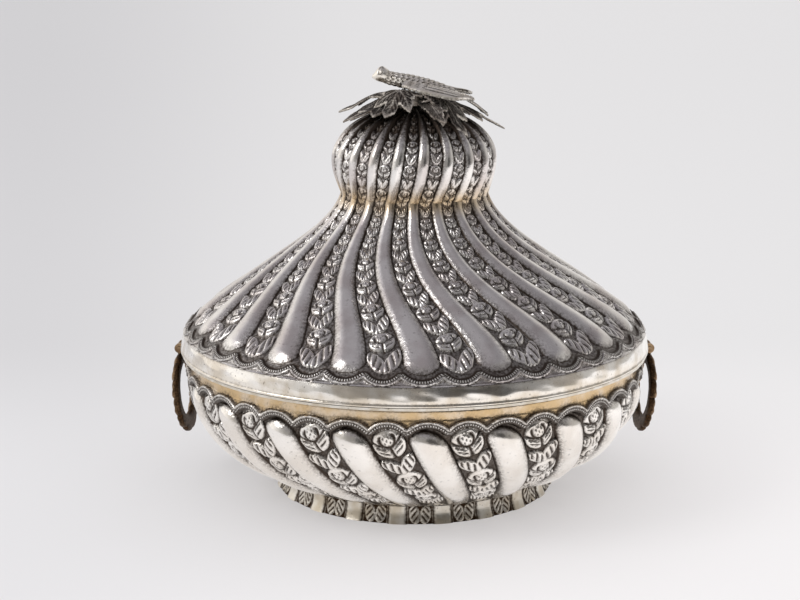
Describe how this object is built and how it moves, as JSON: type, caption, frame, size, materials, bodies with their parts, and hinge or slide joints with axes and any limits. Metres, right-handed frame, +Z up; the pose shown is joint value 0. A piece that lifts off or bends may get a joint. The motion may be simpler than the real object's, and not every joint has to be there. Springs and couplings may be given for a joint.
{
  "type": "covered box",
  "caption": "Round covered box in chased silver with twisted gadroons, melon knop, bird finial and ring handles.",
  "frame": {"origin": "centre of the foot ring's standing plane, under the middle of the box", "axes": "+Z up through the knop, -Y towards the viewer of the picture, +X to the right there; the two ring handles stand 6 degrees behind the X axis"},
  "size_m": [0.2516, 0.24, 0.2129],
  "materials": {
    "chased_silver": "raised and chased silver, bright crests over an oxidised matted ground",
    "tarnished_silver": "silver with a yellowish tarnish, brushed by polishing",
    "polished_silver": "plain burnished silver with fine scratches",
    "cast_silver": "cast and cut silver, dark oxidised with rubbed edges",
    "handle_silver": "cast silver, brown tarnish in the hollows and rubbed relief"
  },
  "bodies": {
    "bowl": {"bowl_shell": "chased_silver", "foot_ring": "tarnished_silver", "bowl_rim_ledge": "tarnished_silver", "bowl_bezel": "tarnished_silver", "handle_plate_left": "handle_silver", "handle_lug_left": "handle_silver", "hinge_pin_left": "handle_silver", "handle_plate_right": "handle_silver", "handle_lug_right": "handle_silver", "hinge_pin_right": "handle_silver"},
    "lid": {"lid_rim_band": "polished_silver", "lid_cone": "chased_silver", "lid_knop": "chased_silver", "finial_stem": "cast_silver", "finial_washer": "tarnished_silver", "finial_nut": "tarnished_silver", "vine_leaf_1": "cast_silver", "vine_leaf_2": "cast_silver", "vine_leaf_3": "cast_silver", "vine_leaf_4": "cast_silver", "vine_leaf_5": "cast_silver", "vine_leaf_6": "cast_silver", "vine_leaf_7": "cast_silver", "vine_leaf_8": "cast_silver", "vine_leaf_9": "cast_silver", "vine_leaf_10": "cast_silver", "vine_leaf_11": "cast_silver", "bird_body": "cast_silver", "bird_wing_left": "cast_silver", "bird_wing_right": "cast_silver"},
    "handle_left": {"drop_handle_left": "handle_silver"},
    "handle_right": {"drop_handle_right": "handle_silver"}
  },
  "joints": [
    {"name": "lid_lift", "type": "slide", "parent": "bowl", "child": "lid", "axis": [0, 0, 1], "range_m": [0, 0.15]},
    {"name": "handle_right_swing", "type": "hinge", "parent": "bowl", "child": "handle_right", "pos_m": [0.12272, 0.0129, 0.0675], "axis": [0.1045, -0.9945, 0], "range_deg": [-8, 155]},
    {"name": "handle_left_swing", "type": "hinge", "parent": "bowl", "child": "handle_left", "pos_m": [-0.12272, 0.0129, 0.0675], "axis": [0.1045, 0.9945, 0], "range_deg": [-8, 155]}
  ]
}
